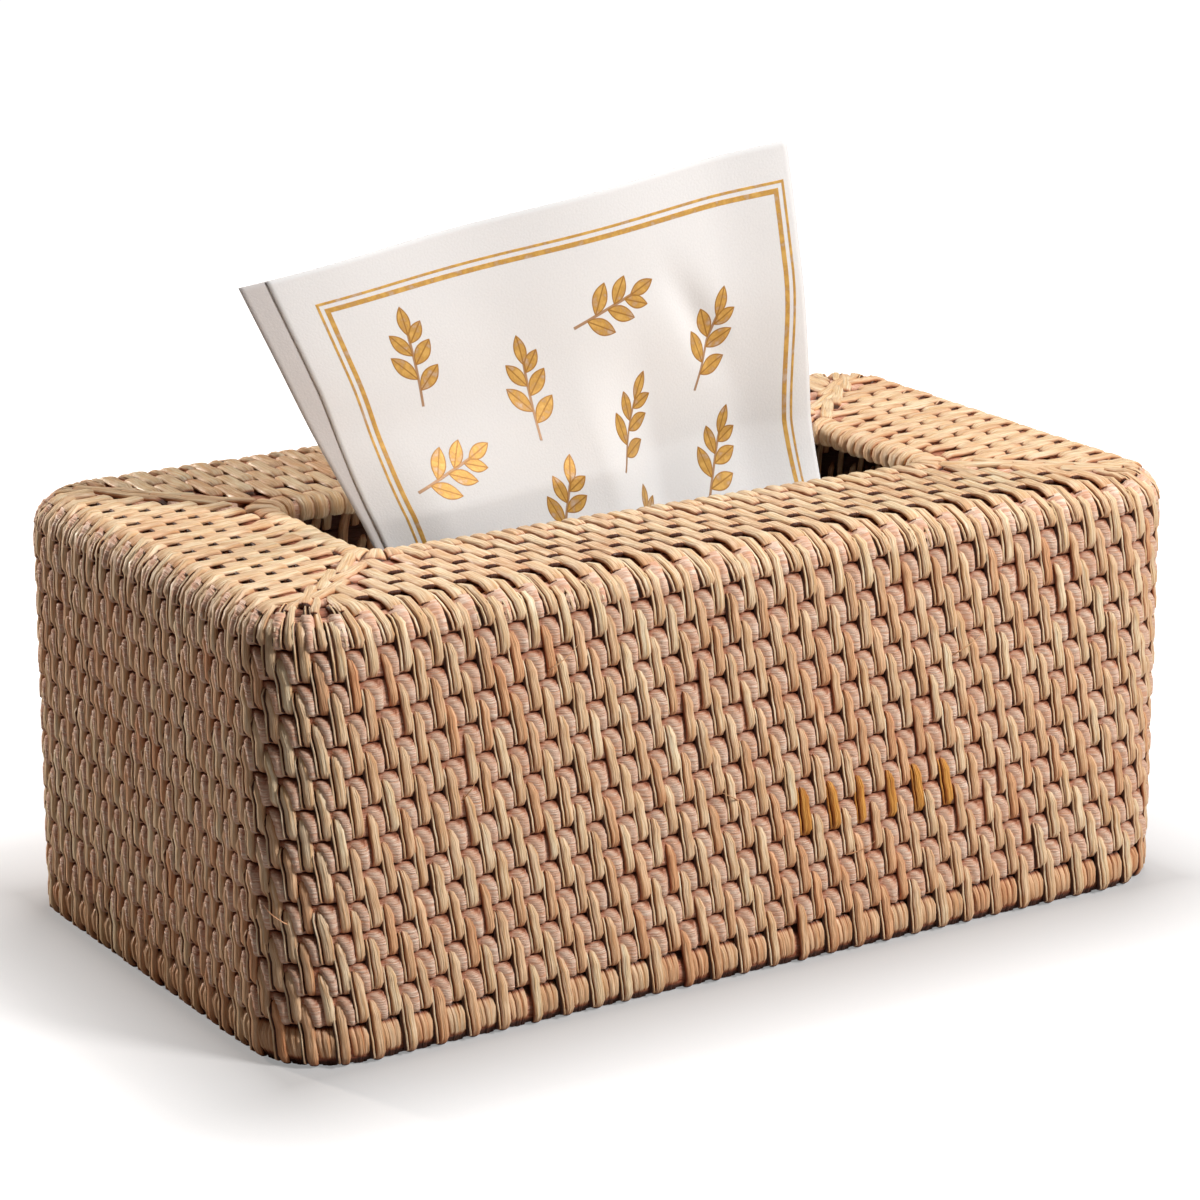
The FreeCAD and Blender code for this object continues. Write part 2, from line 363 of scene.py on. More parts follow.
# %% Stitch counts and course borders
STITCHES = 96
FRONT_STITCHES, CORNER_STITCHES, END_STITCHES = 25.6, 4.1, 14.2
FIRST_STITCH = 3.2
EDGE_SPLIT = math.radians(65)
EDGE_REACH = 12.2
FRONT_RUN = 2 * (HALF_LENGTH - CORNER)
END_RUN = 2 * (HALF_WIDTH - CORNER)
BEND = CORNER * math.pi / 2
STITCH_STEP = FRONT_RUN / FRONT_STITCHES

borders = [BASE_TOP + PITCH * n for n in range(SIDE_COURSES + 1)]
borders.append(WALL_TOP + EDGE_RADIUS * EDGE_SPLIT)
borders.append(FLAT_START + EDGE_REACH - EDGE_RADIUS)
TOP_PITCH = (ROLL_START - ROLL - borders[-1]) / TOP_COURSES
borders += [borders[-1] + TOP_PITCH * n for n in range(1, TOP_COURSES + 1)]
LAST_ROW = SIDE_COURSES + 2 + TOP_COURSES
WALL_ROWS = range(1, SIDE_COURSES + 3)
TOP_ROWS = range(SIDE_COURSES + 3, LAST_ROW + 1)
stitch_steps = [(FRONT_STITCHES / 2, FRONT_RUN / 2)]
for count, run in ((END_STITCHES, END_RUN), (FRONT_STITCHES, FRONT_RUN), (END_STITCHES, END_RUN)):
    stitch_steps += [(CORNER_STITCHES, BEND), (count, run)]
stitch_steps += [(CORNER_STITCHES, BEND), (FRONT_STITCHES / 2, FRONT_RUN / 2)]
place_steps = [(run, count) for count, run in stitch_steps]


def follow(steps, amount):
    """Go along pairs of sizes: what the second ones add up to where the first ones reach amount."""
    total = 0.0
    for size, other in steps:
        if amount <= size:
            return total + other * amount / size
        amount -= size
        total += other
    return total


def stitch_place(number):
    """How far round the cover a stitch number is; numbers need not be whole."""
    return follow(stitch_steps, number % STITCHES)


def stitch_number(s):
    """The stitch number at a place round the cover."""
    return follow(place_steps, s % PERIMETER)


def row_start(row):
    """The number of a row's first stitch: each row is half a stitch beside the next."""
    return FIRST_STITCH / STITCH_STEP + 0.5 * (row - 5)


print("course borders:", [round(t, 1) for t in borders])

# %% The path of a stitch
WALL_WIDTH = 2.65
HEAD_SHARE = 0.35


def ease(share):
    share = min(max(share, 0.0), 1.0)
    return share * share * (3 - 2 * share)


def lean(v):
    """How far right of its middle a stitch is, v from its top."""
    return -1.6 + 4.6 * v - 2.0 * v * v


def taper(v, head=HEAD_SHARE):
    """A stitch's share of its full width: it is squeezed where it goes under."""
    return head + (1 - head) * ease(v / 0.3) - 0.2 * ease((v - 0.88) / 0.12)


# %% [markdown]
# ## Rattan, the material
# Two parts of the same vine are used. The core is pinkish and fibrous, and it bulges between
# the stitches. The skin is honey coloured with a soft shine, and every strip differs. Both
# show fine streaks along their length, so one node group makes streaks from a vector that
# each piece stores in its points: millimetres across, millimetres along, and a seed.

# %% The streak group
streaks, given, result = new_group("rattan_streaks", (("Grain", "Vector"), ("Fineness", "Vector")),
                                   ("Streak", "Mottle"))
stretched = add_node(streaks, "VectorMath", operation="MULTIPLY")
join(streaks, given["Grain"], stretched.inputs[0])
join(streaks, given["Fineness"], stretched.inputs[1])
fine = noise_node(streaks, stretched.outputs[0], 1.0, 3.0, 0.6)
broad = noise_node(streaks, given["Grain"], 0.12, 2.0)
for name, pattern in (("Streak", fine), ("Mottle", broad)):
    join(streaks, spread(streaks, pattern, 0.3, 0.7, 0.0, 1.0), result[name])


def grain_of(tree, fineness):
    """The streak group, fed from the piece's own grain vector."""
    made = add_node(tree, "Group", node_tree=streaks)
    join(tree, stored(tree, "grain", "Vector"), made.inputs["Grain"])
    join(tree, fineness, made.inputs["Fineness"])
    return made.outputs["Streak"], made.outputs["Mottle"]


# %% Core and skin
def paint_shade(tree, colour, deepest):
    """Darken a colour with painted shade in the crevices: first a warm brown, then nearly black."""
    depth = stored(tree, "painted_shade")
    warm = mix_colour(tree, 1.0, colour, srgb(196, 138, 108), "MULTIPLY")
    colour = mix_colour(tree, spread(tree, depth, 0.0, 0.6, 0.0, 1.0), colour, warm)
    return mix_colour(tree, spread(tree, depth, 0.3, 0.85, 0.0, deepest), colour, srgb(38, 17, 10))


core_look, tree, shader = new_material("rattan_core", 0.7)
streak, mottle = grain_of(tree, (0.22, 2.6, 1.0))
colour = mix_colour(tree, streak, srgb(224, 170, 138), srgb(252, 228, 208))
colour = mix_colour(tree, mottle, colour, mix_colour(tree, 0.35, colour, srgb(222, 160, 122)))
join(tree, paint_shade(tree, colour, 0.85), shader.inputs["Base Color"])
join(tree, spread(tree, streak, 0, 1, 0.75, 0.5), shader.inputs["Roughness"])
bump(tree, shader, streak, 0.35, 0.7)

skin_look, tree, shader = new_material("rattan_skin", 0.5)
streak, mottle = grain_of(tree, (1.7, 0.1, 1.0))
pale = mix_colour(tree, streak, srgb(228, 192, 142), srgb(253, 238, 206))
brown = mix_colour(tree, streak, srgb(190, 118, 74), srgb(244, 186, 136))
colour = mix_colour(tree, stored(tree, "tone"), pale, brown)
colour = mix_colour(tree, spread(tree, mottle, 0.35, 1.0, 0.0, 0.3), colour, srgb(206, 148, 104))
deep = mix_colour(tree, streak, srgb(176, 104, 30), srgb(232, 170, 84))
colour = mix_colour(tree, stored(tree, "amber"), colour, deep)
join(tree, paint_shade(tree, colour, 0.9), shader.inputs["Base Color"])
join(tree, spread(tree, streak, 0, 1, 0.6, 0.38), shader.inputs["Roughness"])
shader.inputs["Specular IOR Level"].default_value = 0.45
bump(tree, shader, streak, 0.4, 0.7)

# %% [markdown]
# ## The courses
# Each course is a ring of core. Its face is like a roof tile: it swells low down and tucks
# its head behind the course above, which gives every row its line of shadow, and the core is
# painted darker the deeper it lies, as painted shade. Between two stitches the core is free
# to swell, so the ring is fat there and thin under the binding.
# A grid with one row for each corner of the section is rolled into the ring by the map.

# %% Rings of core
SKIN = 1.0
STATIONS_PER_STITCH = 14
PILLOW = 1.25
SLOT_ROOM = 1.1
# Painted shade on the core: the depth below the crown where it begins, and the further depth over which it
# grows full.
SHADE_FROM, SHADE_OVER = 0.8, 1.6
# Corners of a course's face: share of its height, depth below the binding's crown, and how
# much of the swelling between two stitches it takes part in.
TILE_FACE = [(0.0, 2.9, 0.1), (0.04, 1.6, 0.85), (0.15, 1.3, 1.0), (0.35, 1.25, 1.0), (0.55, 1.25, 1.0),
             (0.7, 1.3, 1.0), (0.82, 1.4, 0.95), (0.92, 1.55, 0.8), (0.975, 1.9, 0.5), (1.0, 2.9, 0.0)]
EDGE_FACE = TILE_FACE[:3] + [(0.4, 1.25, 1.0), (0.7, 1.25, 1.0), (0.9, 1.3, 1.0), (0.97, 1.5, 0.8),
                             (1.0, 2.2, 0.4)]
FLAT_FACE = [(0.0, 2.6, 0.3), (0.1, 1.7, 1.0), (0.35, 1.5, 1.0), (0.65, 1.5, 1.0), (0.9, 1.7, 1.0),
             (1.0, 2.6, 0.3)]


def make_object(bm, name, *materials):
    """Scale a millimetre mesh to metres and put it in the scene as a smooth object."""
    bmesh.ops.scale(bm, vec=(MM, MM, MM), verts=bm.verts)
    mesh = to_mesh(bm, name)
    mesh.shade_smooth()
    for material in materials:
        mesh.materials.append(material)
    return add_object(name, mesh)


def finish_mesh(bm, name, body, material, slot, *nodes):
    """Make a mesh a piece that rides on a body and stands for the CAD nodes, if any are named."""
    bmesh.ops.recalc_face_normals(bm, faces=bm.faces)
    obj = make_object(bm, name, material)
    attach(obj, body)
    if nodes:
        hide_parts(*nodes)


def finish_core(bm, node):
    finish_mesh(bm, f"{node}_core", "cover", core_look, "rattan_core", node)


def finish_binding(bm, name):
    finish_mesh(bm, name, "cover", skin_look, "rattan_core")


def roll_ring(length, stations, corners, place, swell=None):
    """A closed ring: a grid's columns go round the course, its rows round the section."""
    bm = bmesh.new()
    grain = bm.verts.layers.float_vector.new("grain")
    painted_shade = bm.verts.layers.float.new("painted_shade")
    bmesh.ops.create_grid(bm, x_segments=stations, y_segments=len(corners), size=0.5)
    for vert in bm.verts:
        column = round((vert.co.x + 0.5) * stations)
        row = round((vert.co.y + 0.5) * len(corners))
        t, w, puff = corners[row % len(corners)]
        s = length * (column / stations + 0.5)
        height, painted_shadow = swell(s, t) if swell and puff else (0.0, 0.0)
        w += puff * height
        vert[grain] = (s, row * 1.3, corners[0][0])
        # Painted shade: the core is darker the deeper it lies, and where the pillow paints a shadow.
        vert[painted_shade] = max(min(max((-w - SHADE_FROM) / SHADE_OVER, 0.0), 1.0), painted_shadow)
        vert.co = place(s, t, w)
    bmesh.ops.remove_doubles(bm, verts=bm.verts, dist=0.0005)
    return bm


def pillow_of(row):
    """How a row's core swells between its own strip and the next row's, and where a shadow is painted on it.
    """
    foot, head = borders[row - 1], borders[row]

    def pillow(s, t):
        share = (t - foot) / (head - foot)
        v = 0.5 * (1 - share)
        x = STITCH_STEP * ((stitch_number(s) - row_start(row) + 0.3) % 1.0 - 0.3)
        left = lean(v) + 0.5 * WALL_WIDTH * taper(v)
        right = 0.5 * STITCH_STEP + lean(v + 0.5) - 0.5 * WALL_WIDTH - SLOT_ROOM
        swell = ease((x - left + 0.9) / 1.2) * ease((right + 0.8 - x) / 1.1)
        # Its upper right corner tucks under the strip that comes down from above, and that strip's shadow is
        # painted there.
        tuck = ease((share - 1.05 + 0.5 * min(max((x - left) / (right - left), 0.0), 1.0)) / 0.3)
        tuck *= row <= SIDE_COURSES
        return PILLOW * swell * (1 - 0.7 * tuck), 0.6 * tuck * swell

    return pillow


def course_corners(foot, head, shape):
    """A course's section in t and w, from the foot up the face and down the inside."""
    face = [(foot + share * (head - foot), -depth, puff) for share, depth, puff in shape]
    inside = [(t, -CORE - 0.6 + 0.5 * abs(2 * (t - foot) / (head - foot) - 1), 0.0)
              for t, w, puff in reversed(face[::2])]
    return face + inside


def wall_course(row, node):
    face = {"upper_edge_course": FLAT_FACE, "lower_edge_course": EDGE_FACE}.get(node, TILE_FACE)
    corners = course_corners(borders[row - 1], borders[row], face)
    swell = None if face is FLAT_FACE else pillow_of(row)
    finish_core(roll_ring(PERIMETER, STITCHES * STATIONS_PER_STITCH, corners, wall, swell), node)


wall_nodes = [f"side_course_{n:02d}" for n in range(1, SIDE_COURSES + 1)]
wall_nodes += ["lower_edge_course", "upper_edge_course"]
for row, node in enumerate(wall_nodes, start=1):
    wall_course(row, node)
print("rings of core on the wall:", len(wall_nodes))

# %% Rings of core on the top
LEAST_CORNER = 4.5
BARE_RISE, BARE_RUN = 0.9, 12
TOP_STATION, RIM_STATION = 2.2, 1.2


def top_course(row, node):
    """A flat course: it keeps its own tight corners, because the top is mitred."""
    foot = borders[row - 1]
    middle = section(foot + TOP_PITCH / 2, 0)[0]
    half_x, half_y = HALF_LENGTH - middle, HALF_WIDTH - middle
    corner = max(CORNER - middle, LEAST_CORNER)

    def place(s, t, w):
        point, out = around(s, half_x, half_y, corner)
        inset, z = section(t, w)
        point = point + out * (middle - inset)
        return Vector((point.x, point.y, z))

    def bared(s, t):
        """At the mitres the core is less covered, and it stands higher."""
        point, out = around(s, half_x, half_y, corner)
        return BARE_RISE * ease(1 - max(half_x - abs(point.x), half_y - abs(point.y)) / BARE_RUN), 0.0

    length = ring_length(half_x, half_y, corner)
    corners = course_corners(foot, borders[row], FLAT_FACE)
    finish_core(roll_ring(length, round(length / TOP_STATION), corners, place, bared), node)


for n in range(1, TOP_COURSES + 1):
    top_course(SIDE_COURSES + 2 + n, f"top_course_{n}")

# %% Rims of the base and of the opening
RIM_HALF_X = HALF_LENGTH - ROLL_INSET
RIM_HALF_Y = HALF_WIDTH - ROLL_INSET
RIM_CORNER = 8.5
CORNER_FILL = 1.25
BASE_FACE = [(0.0, 3.6, 0.0), (0.05, 2.6, 0.0), (0.2, 1.7, 0.0), (0.45, 1.4, 0.0), (0.7, 1.6, 0.0),
             (0.9, 2.4, 0.0), (1.0, 3.6, 0.0)]
BASE_FOOT, BASE_STATIONS = 0.15, 4
ROLL_SIDES = 10


def rim_point(s, reach, w):
    """A point of the roll: reach is measured over it, from its top down into the slot."""
    point, out = around(s, RIM_HALF_X, RIM_HALF_Y, RIM_CORNER)
    turn = max(reach, 0) / ROLL
    point = point + out * (max(-reach, 0) - (ROLL + w) * math.sin(turn))
    return Vector((point.x, point.y, ROLL_TOP - ROLL + (ROLL + w) * math.cos(turn)))


def corner_room(s):
    """How far outside the roll the square corner of the last course lies, and in which direction."""
    out = around(s, RIM_HALF_X, RIM_HALF_Y, RIM_CORNER)[1]
    return (RIM_CORNER + ROLL) * (1 / max(abs(out.x), abs(out.y)) - 1), out


def rim_core_point(s, reach, w):
    """The core of the roll, spread outwards at its corners to meet the last course."""
    room, out = corner_room(s)
    room *= CORNER_FILL * max(-math.sin(reach / ROLL), 0)
    return rim_point(s, reach, w) + Vector((room * out.x, room * out.y, 0))


rim_length = ring_length(RIM_HALF_X, RIM_HALF_Y, RIM_CORNER)
turns = [(2 * math.pi * ROLL * n / ROLL_SIDES, -SKIN, 0.0) for n in range(ROLL_SIDES)]
finish_core(roll_ring(rim_length, round(rim_length / RIM_STATION), turns, rim_core_point), "opening_rim")
base_corners = course_corners(BASE_FOOT, BASE_TOP, BASE_FACE)
finish_core(roll_ring(PERIMETER, STITCHES * BASE_STATIONS, base_corners, wall), "base_rim")

# %% [markdown]
# ## One strip of binding
# The strip is a split of skin: round on top, flat below. An eight-sided bar cut into short
# lengths is enough, because its smooth shading rounds it and there are very many of it.
# The bar lies from 0 to 1 along Y, so the map can stretch it to any stitch. Beside a stitch
# often lies a thin splinter in a dark slot, and that is the same bar with another section,
# whose wide low flanks are painted dark as the slot's shade.

# %% The strip
STITCH_CUTS, WRAP_CUTS, INNER_CUTS = 7, 10, 5
# Half width and height of a strip's crown, shoulder, flank and belly.
STITCH_SIDES = ((0.22, 0.0), (0.42, -0.3), (0.5, -1.0), (0.3, -1.4))
FLAT_SIDES = ((0.25, 0.0), (0.43, -0.2), (0.5, -0.7), (0.3, -1.3))
SPLINTER_SIDES = ((0.13, 0.0), (0.2, -0.3), (0.5, -0.6), (0.4, -1.3))


def make_strip(name, cuts, sides):
    crown, shoulder, flank, belly = sides
    bm = bmesh.new()
    bmesh.ops.create_cone(bm, cap_ends=True, segments=8, radius1=0.5, radius2=0.5, depth=1.0)
    bmesh.ops.rotate(bm, verts=bm.verts, matrix=Matrix.Rotation(math.pi / 2, 3, "X"))
    bmesh.ops.subdivide_edges(bm, edges=long_edges(bm, 1), cuts=cuts)
    if max(v.co.x for v in bm.verts) > 0.49:
        bmesh.ops.rotate(bm, verts=bm.verts, matrix=Matrix.Rotation(math.pi / 8, 3, "Y"))
    for vert in bm.verts:
        outer, upper = abs(vert.co.x) > 0.3, vert.co.z > 0
        half, height = (shoulder if outer else crown) if upper else (flank if outer else belly)
        # Points crowd at the ends, where the strip bends most.
        along = 0.5 - 0.5 * math.cos(math.pi * min(max(vert.co.y + 0.5, 0), 1))
        vert.co = (math.copysign(half, vert.co.x), along, height)
    print(name, len(bm.faces), "faces")
    return to_mesh(bm, name)


stitch_strip = make_strip("stitch_strip", STITCH_CUTS, STITCH_SIDES)
inner_strip = make_strip("inner_strip", INNER_CUTS, STITCH_SIDES)
splinter_strip = make_strip("splinter_strip", STITCH_CUTS, SPLINTER_SIDES)
flat_strip = make_strip("flat_strip", WRAP_CUTS, FLAT_SIDES)
wrap_strip = make_strip("wrap_strip", WRAP_CUTS, STITCH_SIDES)
# Painted shade on a strip: how dark its left flank, right flank and foot are, the left flank
# darker as it faces away from the light, then the depth where it begins to darken and the
# further depth at which it is fully dark.
WALL_DARK = (0.75, 0.15, 0.0, 0.4, 1.5)
SPLINTER_DARK = (1.6, 1.6, 0.0, 0.4, 1.6)
FLAT_DARK = (0.5, 0.25, 0.8, 0.25, 0.9)
# How much browner a strip turns towards its foot, a painted shade where it curves under.
FOOT_SHADE = 0.3


def start_binding():
    """A mesh whose points store their grain, and their strip's tone, amber and painted shade."""
    bm = bmesh.new()
    layers = [bm.verts.layers.float_vector.new("grain")]
    layers += [bm.verts.layers.float.new(name) for name in ("tone", "amber", "painted_shade")]
    return bm, layers


def lay_strip(bm, layers, place, width, length, tone, amber=0.0,
              strip=stitch_strip, dip=None, dark=WALL_DARK):
    """Add one strip: place(across, along, up) says where each of its points goes."""
    grain, tone_and_painted_light_layer, amber_layer, painted_shade = layers
    left_dark, right_dark, foot_dark, sunk_from, sunk_over = dark
    seed = rng.random() * 40
    for vert in paste(bm, strip):
        across, along, up = vert.co
        vert[grain] = (across * width + seed * 31.7, along * length, seed * 7.3)
        # The stored tone carries the strip's colour and painted light: it turns browner towards the foot as
        # painted shade.
        vert[tone_and_painted_light_layer] = min(tone + FOOT_SHADE * ease((along - 0.78) / 0.2), 1.0)
        vert[amber_layer] = amber
        sunk = dip(along) if dip else 0.0
        # Painted shade: the flanks, the foot's end and the parts that dip below the crown are darker.
        flank = (left_dark if across < 0 else right_dark) * min(-up, 1.0) ** 0.7 if up < 0 else 0.0
        foot = foot_dark if along > 0.99 else 0.0
        vert[painted_shade] = max(min(flank, 1.0), foot, ease((-sunk - sunk_from) / sunk_over))
        vert.co = place(across * width, along, sunk + up * SKIN)


# %% [markdown]
# ## Binding the wall
# A stitch comes out of the crevice above its course, leans to the right as it goes down over
# two courses, and dives under the lower one. The worker's hand shows: no two strips have the
# same width, lean or colour, and some lengths of skin were darker than others. The strips
# go right through the wall, so the same rows show on the inside.

# %% The shape of a stitch
DIVE = 2.9
SADDLE = 0.4
TOP_DIVE = 1.4
TOP_SADDLE = 0.2
# How the hand varies: the spread of a strip's place, and the ranges of its width, slant and lift.
WALL_HAND = (0.25, (0.88, 1.1), (0.75, 1.25), (-0.2, 0.15))
TOP_HAND = (0.12, (0.92, 1.04), (0.8, 1.2), (-0.15, 0.1))
rng = random.Random(41)


def by_hand(hand):
    """One strip's chance shift, width, slant and lift."""
    shift, *ranges = hand
    return rng.gauss(0, shift), *(rng.uniform(*limits) for limits in ranges)


def wall_dip(v):
    """How far below its crown a stitch is: it dives at both ends and sags at the border."""
    dive = DIVE * (1 - ease(v / 0.2)) + 0.6 * DIVE * ease((v - 0.92) / 0.08)
    return -dive - SADDLE * math.exp(-((v - 0.5) / 0.1) ** 2)


def top_dip(v):
    dive = TOP_DIVE * (1 - ease(v / 0.13)) + 0.25 * ease((v - 0.95) / 0.05)
    return -dive - TOP_SADDLE * math.exp(-((v - 0.5) / 0.12) ** 2)


def tone_at(s, t):
    """Lengths of skin differ in colour: broad patches, runs along a row, and each strip by itself."""
    patch = noise.noise(Vector((s * 0.012, t * 0.022, 3.1)))
    run = noise.noise(Vector((s * 0.033, t * 1.37, 8.2)))
    return min(max(0.42 + 0.4 * patch + 0.45 * run + rng.gauss(0, 0.15), 0.0), 1.0)


# %% Stitch rows of the wall
# Width of a splinter with its flanks, which are painted dark, a painted shade for its slot.
SLOT_WIDTH, EDGE_SLOT = 1.3, 1.6
SPLINTER_FROM, SPLINTER_RUN = 0.1, 0.86
# Splinters take a small share of their stitch's tone and are nearly white: partly pale skin, partly a painted
# highlight.
SPLINTER_SHARE, SPLINTER_TONE_AND_HIGHLIGHT = 0.9, 0.15
SPLINTER_SINK = (-0.35, 0.05)
EDGE_HEAD = 0.85
# Strips over the rounded edge take less tone and so are paler: partly paler skin, partly a painted highlight
# where the edge meets the light.
EDGE_LEAN, EDGE_TONE_AND_HIGHLIGHT = 1.7, 0.4
LOWEST_FOOT = 0.4
INNER_FACE = CORE + 1.6
AMBER_ROW = 5
AMBER_STITCHES = range(1, 7)


def stitch_row(row, bm, layers, inner=False):
    """Lay one row: each stitch covers its own course and the one below."""
    head = borders[row]
    foot = borders[row - 2] if row > 1 else LOWEST_FOOT
    at_edge = row > SIDE_COURSES
    for n in range(STITCHES):
        shift, wide, slant, lift = by_hand(WALL_HAND)
        s = stitch_place(n + row_start(row)) + shift
        width = WALL_WIDTH * wide
        slant *= EDGE_LEAN if row == SIDE_COURSES + 2 else 1.0
        narrow = EDGE_HEAD if at_edge else HEAD_SHARE
        slot = EDGE_SLOT if at_edge else SLOT_WIDTH

        def place(across, along, up):
            t = head - along * (head - foot)
            w = -INNER_FACE - up if inner else up + lift
            return wall(s + slant * lean(along) + across * taper(along, narrow), t, w)

        amber = 1.0 if row == AMBER_ROW and n in AMBER_STITCHES and not inner else 0.0
        tone = tone_at(s, head) * (EDGE_TONE_AND_HIGHLIGHT if at_edge else 1.0)
        lay_strip(bm, layers, place, width, head - foot, tone, amber,
                  strip=inner_strip if inner else stitch_strip, dip=wall_dip)
        splinters = 2 if row == SIDE_COURSES + 2 else int(at_edge or rng.random() < SPLINTER_SHARE)
        for splinter in range(0 if inner else splinters):
            sunk = rng.uniform(*SPLINTER_SINK)

            def splinter_place(across, along, up):
                v = SPLINTER_FROM + SPLINTER_RUN * along
                beside = -0.5 * width * taper(v, narrow) - (splinter + 0.4) * slot
                return wall(s + slant * lean(v) + beside + across, head - v * (head - foot), up + lift + sunk)

            lay_strip(bm, layers, splinter_place, slot, head - foot, SPLINTER_TONE_AND_HIGHLIGHT * tone, amber,
                      strip=splinter_strip, dark=SPLINTER_DARK,
                      dip=lambda along: wall_dip(SPLINTER_FROM + SPLINTER_RUN * along))


for row in WALL_ROWS:
    bm, layers = start_binding()
    stitch_row(row, bm, layers)
    finish_binding(bm, f"wall_binding_{row:02d}")

# %% [markdown]
# ## Binding the top
# The four flat courses are bound side by side, so closely that only slits of shade show
# between the strips. They meet in mitres. There the worker laid longer strips along the
# diagonal, one over the other, from the slot's corner out to the cover's rounded corner.

# %% Stitch rows of the top
TOP_SHARE = 0.51
TOP_LEANS = (0.15, 0.15, 0.15, 1.0)
TOP_PIT = 0.7
FIRST_REACH = 1.6
MITRE_ROOM = 2.6
# Sets the sides apart in the patches of colour.
SIDE_APART = 300


def side_step(side):
    return END_RUN / END_STITCHES if side % 2 else STITCH_STEP


def top_taper(v):
    """A top stitch's share of its full width: it narrows where it goes under at both ends."""
    return 0.5 + 0.5 * ease(v / 0.13) - 0.12 * ease((v - 0.93) / 0.07)


def top_row(row, bm, layers, inner=False):
    head, foot = borders[row], borders[row - 2] - (FIRST_REACH if row == SIDE_COURSES + 3 else 0.0)
    head_inset = section(head, 0)[0]
    for side in range(4):
        step = side_step(side)
        limit = (HALF_WIDTH if side % 2 else HALF_LENGTH) - head_inset + MITRE_ROOM
        first = math.ceil(-limit / step - row_start(row))
        last = math.floor(limit / step - row_start(row))
        for n in range(first, last + 1):
            shift, wide, slant, lift = by_hand(TOP_HAND)
            a = (n + row_start(row)) * step + shift
            width = step * TOP_SHARE * wide
            slant *= TOP_LEANS[side]

            def place(across, along, up):
                t = head - TOP_PIT - along * (head - TOP_PIT - foot)
                w = -INNER_FACE - up if inner else up + lift
                return straight(side, a + slant * lean(along) + across * top_taper(along), t, w)

            # Top strips take half the tone and so are paler: partly paler skin, partly painted light for the
            # top that faces the lamps.
            lay_strip(bm, layers, place, width, head - foot, 0.5 * tone_at(a + SIDE_APART * side, head),
                      strip=inner_strip if inner else flat_strip, dip=top_dip, dark=FLAT_DARK)


for row in TOP_ROWS:
    bm, layers = start_binding()
    top_row(row, bm, layers)
    finish_binding(bm, f"top_binding_{row - SIDE_COURSES - 2}")

# %% Mitre strips
MITRE_STRIPS = [(47.5, 32.5), (42.0, 27.0), (36.5, 21.5), (31.0, 16.0), (25.5, 13.0)]
MITRE_WIDTH, MITRE_TONE = 3.6, 0.3
MITRE_SIDESTEP = 1.9
MITRE_TURN = 2.4
FAN_ANGLES = (10, 33, 57, 80)
FAN_REACH, FAN_WIDEST, FAN_SHARE, FAN_TONE = 4.5, 3.0, 0.8, 0.4


def mitre_strips(corner_side, bm, layers):
    """Strips along one corner's diagonal, each starting on the last one's back."""
    along, out = SIDES[corner_side]
    half_along, half_out = ((HALF_LENGTH, HALF_WIDTH) if corner_side % 2 == 0 else (HALF_WIDTH, HALF_LENGTH))
    for n, (start, end) in enumerate(MITRE_STRIPS):
        beside = MITRE_SIDESTEP * (-1) ** n

        def place(across, v, up):
            t = FLAT_START + start + (end - start) * v - EDGE_RADIUS
            inset, z = section(t, 0.2 + up)
            off = (beside * (1 - 0.4 * v) + MITRE_TURN * (0.5 - v) * math.copysign(1, beside)
                   + across * taper(v, 0.6)) / math.sqrt(2)
            point = along * (half_along - inset - off) + out * (half_out - inset + off)
            return Vector((point.x, point.y, z))

        lay_strip(bm, layers, place, MITRE_WIDTH, (start - end) * math.sqrt(2), MITRE_TONE * rng.random(),
                  dip=top_dip, dark=FLAT_DARK)
    # Where the rounded corner folds over, short strips fan out round its centre.
    corner_start = sum(run for count, run in stitch_steps[:2 * corner_side + 1])
    head, foot = borders[SIDE_COURSES + 2] + FAN_REACH, borders[SIDE_COURSES + 1]
    for degrees in FAN_ANGLES:
        s = corner_start + CORNER * math.radians(degrees)

        def fan_place(across, v, up):
            t = head - v * (head - foot)
            widen = CORNER / (CORNER - section(t, 0)[0])
            return wall(s + across * taper(v) * min(widen, FAN_WIDEST) * FAN_SHARE, t, up)

        lay_strip(bm, layers, fan_place, WALL_WIDTH, head - foot, FAN_TONE * rng.random(),
                  dip=top_dip, dark=FLAT_DARK)


bm, layers = start_binding()
for side in range(4):
    mitre_strips(side, bm, layers)
finish_binding(bm, "mitre_binding")

# %% Rows on the inside
bm, layers = start_binding()
for row in WALL_ROWS:
    stitch_row(row, bm, layers, inner=True)
finish_binding(bm, "inner_wall_binding")
bm, layers = start_binding()
for row in TOP_ROWS:
    top_row(row, bm, layers, inner=True)
finish_binding(bm, "inner_top_binding")

# %% [markdown]
# ## Wrapping the two rims
# The roll round the slot is wrapped solid, strip beside strip. Every second strip runs on
# over the last course of the top and ties the roll to it, which leaves no groove between
# them. The rim that the cover stands on is wrapped with narrower, browner strips, in groups
# of three between each pair of stitches, which draw together towards the foot.

# %% Wraps of the opening
WRAP_REACH = ROLL * 2.7
SHORT_TUCK = 1.4
WRAP_DRIFT, WRAP_FILL, WRAP_TONE = 0.16, 0.97, 0.35
WRAP_STRAY, WRAP_LIFT = 0.1, (-0.12, 0.08)
WRAP_PATCH = 160
CORNER_WRAPS = (8, 32, 58, 82)
CORNER_WRAP_WIDTH, CORNER_WRAP_TONE = 3.4, 0.4


def wrap_dip(v):
    return -1.0 * (1 - ease(v / 0.1)) - 1.2 * ease((v - 0.86) / 0.14)


